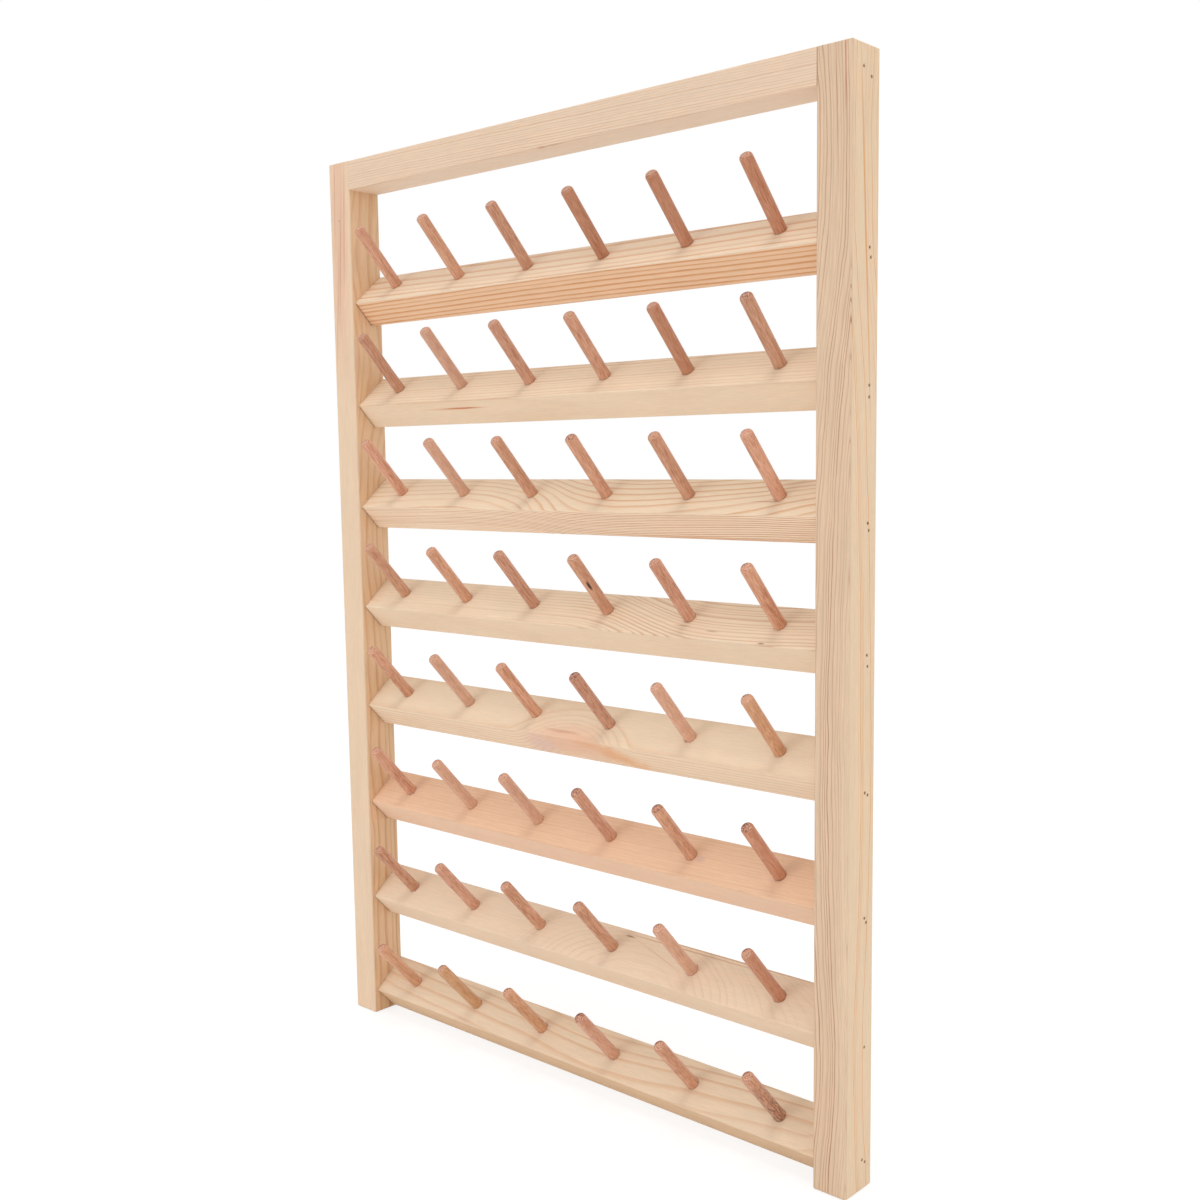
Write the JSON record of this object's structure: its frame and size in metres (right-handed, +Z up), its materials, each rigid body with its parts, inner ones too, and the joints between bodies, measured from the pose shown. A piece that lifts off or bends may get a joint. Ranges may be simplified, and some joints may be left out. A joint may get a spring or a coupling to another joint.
{
  "type": "thread rack",
  "caption": "Wall rack for sewing thread: a softwood frame with tilted slats that hold rows of hardwood spool pegs.",
  "frame": {"origin": "centre of the top rail's back face, on the plane that meets the wall", "axes": "+X to the right seen from the front, +Y back into the wall, +Z up"},
  "size_m": [0.4, 0.0409, 0.56],
  "materials": {
    "pine": "planed and sanded, unfinished",
    "dowel": "turned and sanded, unfinished",
    "steel": "bright wire"
  },
  "bodies": {
    "root": {"left_stile": "pine", "right_stile": "pine", "top_rail": "pine", "slat_1": "pine", "slat_2": "pine", "slat_3": "pine", "slat_4": "pine", "slat_5": "pine", "slat_6": "pine", "slat_7": "pine", "slat_8": "pine", "peg_1_1": "dowel", "peg_1_2": "dowel", "peg_1_3": "dowel", "peg_1_4": "dowel", "peg_1_5": "dowel", "peg_1_6": "dowel", "peg_2_1": "dowel", "peg_2_2": "dowel", "peg_2_3": "dowel", "peg_2_4": "dowel", "peg_2_5": "dowel", "peg_2_6": "dowel", "peg_3_1": "dowel", "peg_3_2": "dowel", "peg_3_3": "dowel", "peg_3_4": "dowel", "peg_3_5": "dowel", "peg_3_6": "dowel", "peg_4_1": "dowel", "peg_4_2": "dowel", "peg_4_3": "dowel", "peg_4_4": "dowel", "peg_4_5": "dowel", "peg_4_6": "dowel", "peg_5_1": "dowel", "peg_5_2": "dowel", "peg_5_3": "dowel", "peg_5_4": "dowel", "peg_5_5": "dowel", "peg_5_6": "dowel", "peg_6_1": "dowel", "peg_6_2": "dowel", "peg_6_3": "dowel", "peg_6_4": "dowel", "peg_6_5": "dowel", "peg_6_6": "dowel", "peg_7_1": "dowel", "peg_7_2": "dowel", "peg_7_3": "dowel", "peg_7_4": "dowel", "peg_7_5": "dowel", "peg_7_6": "dowel", "peg_8_1": "dowel", "peg_8_2": "dowel", "peg_8_3": "dowel", "peg_8_4": "dowel", "peg_8_5": "dowel", "peg_8_6": "dowel", "brads": "steel"}
  },
  "joints": []
}
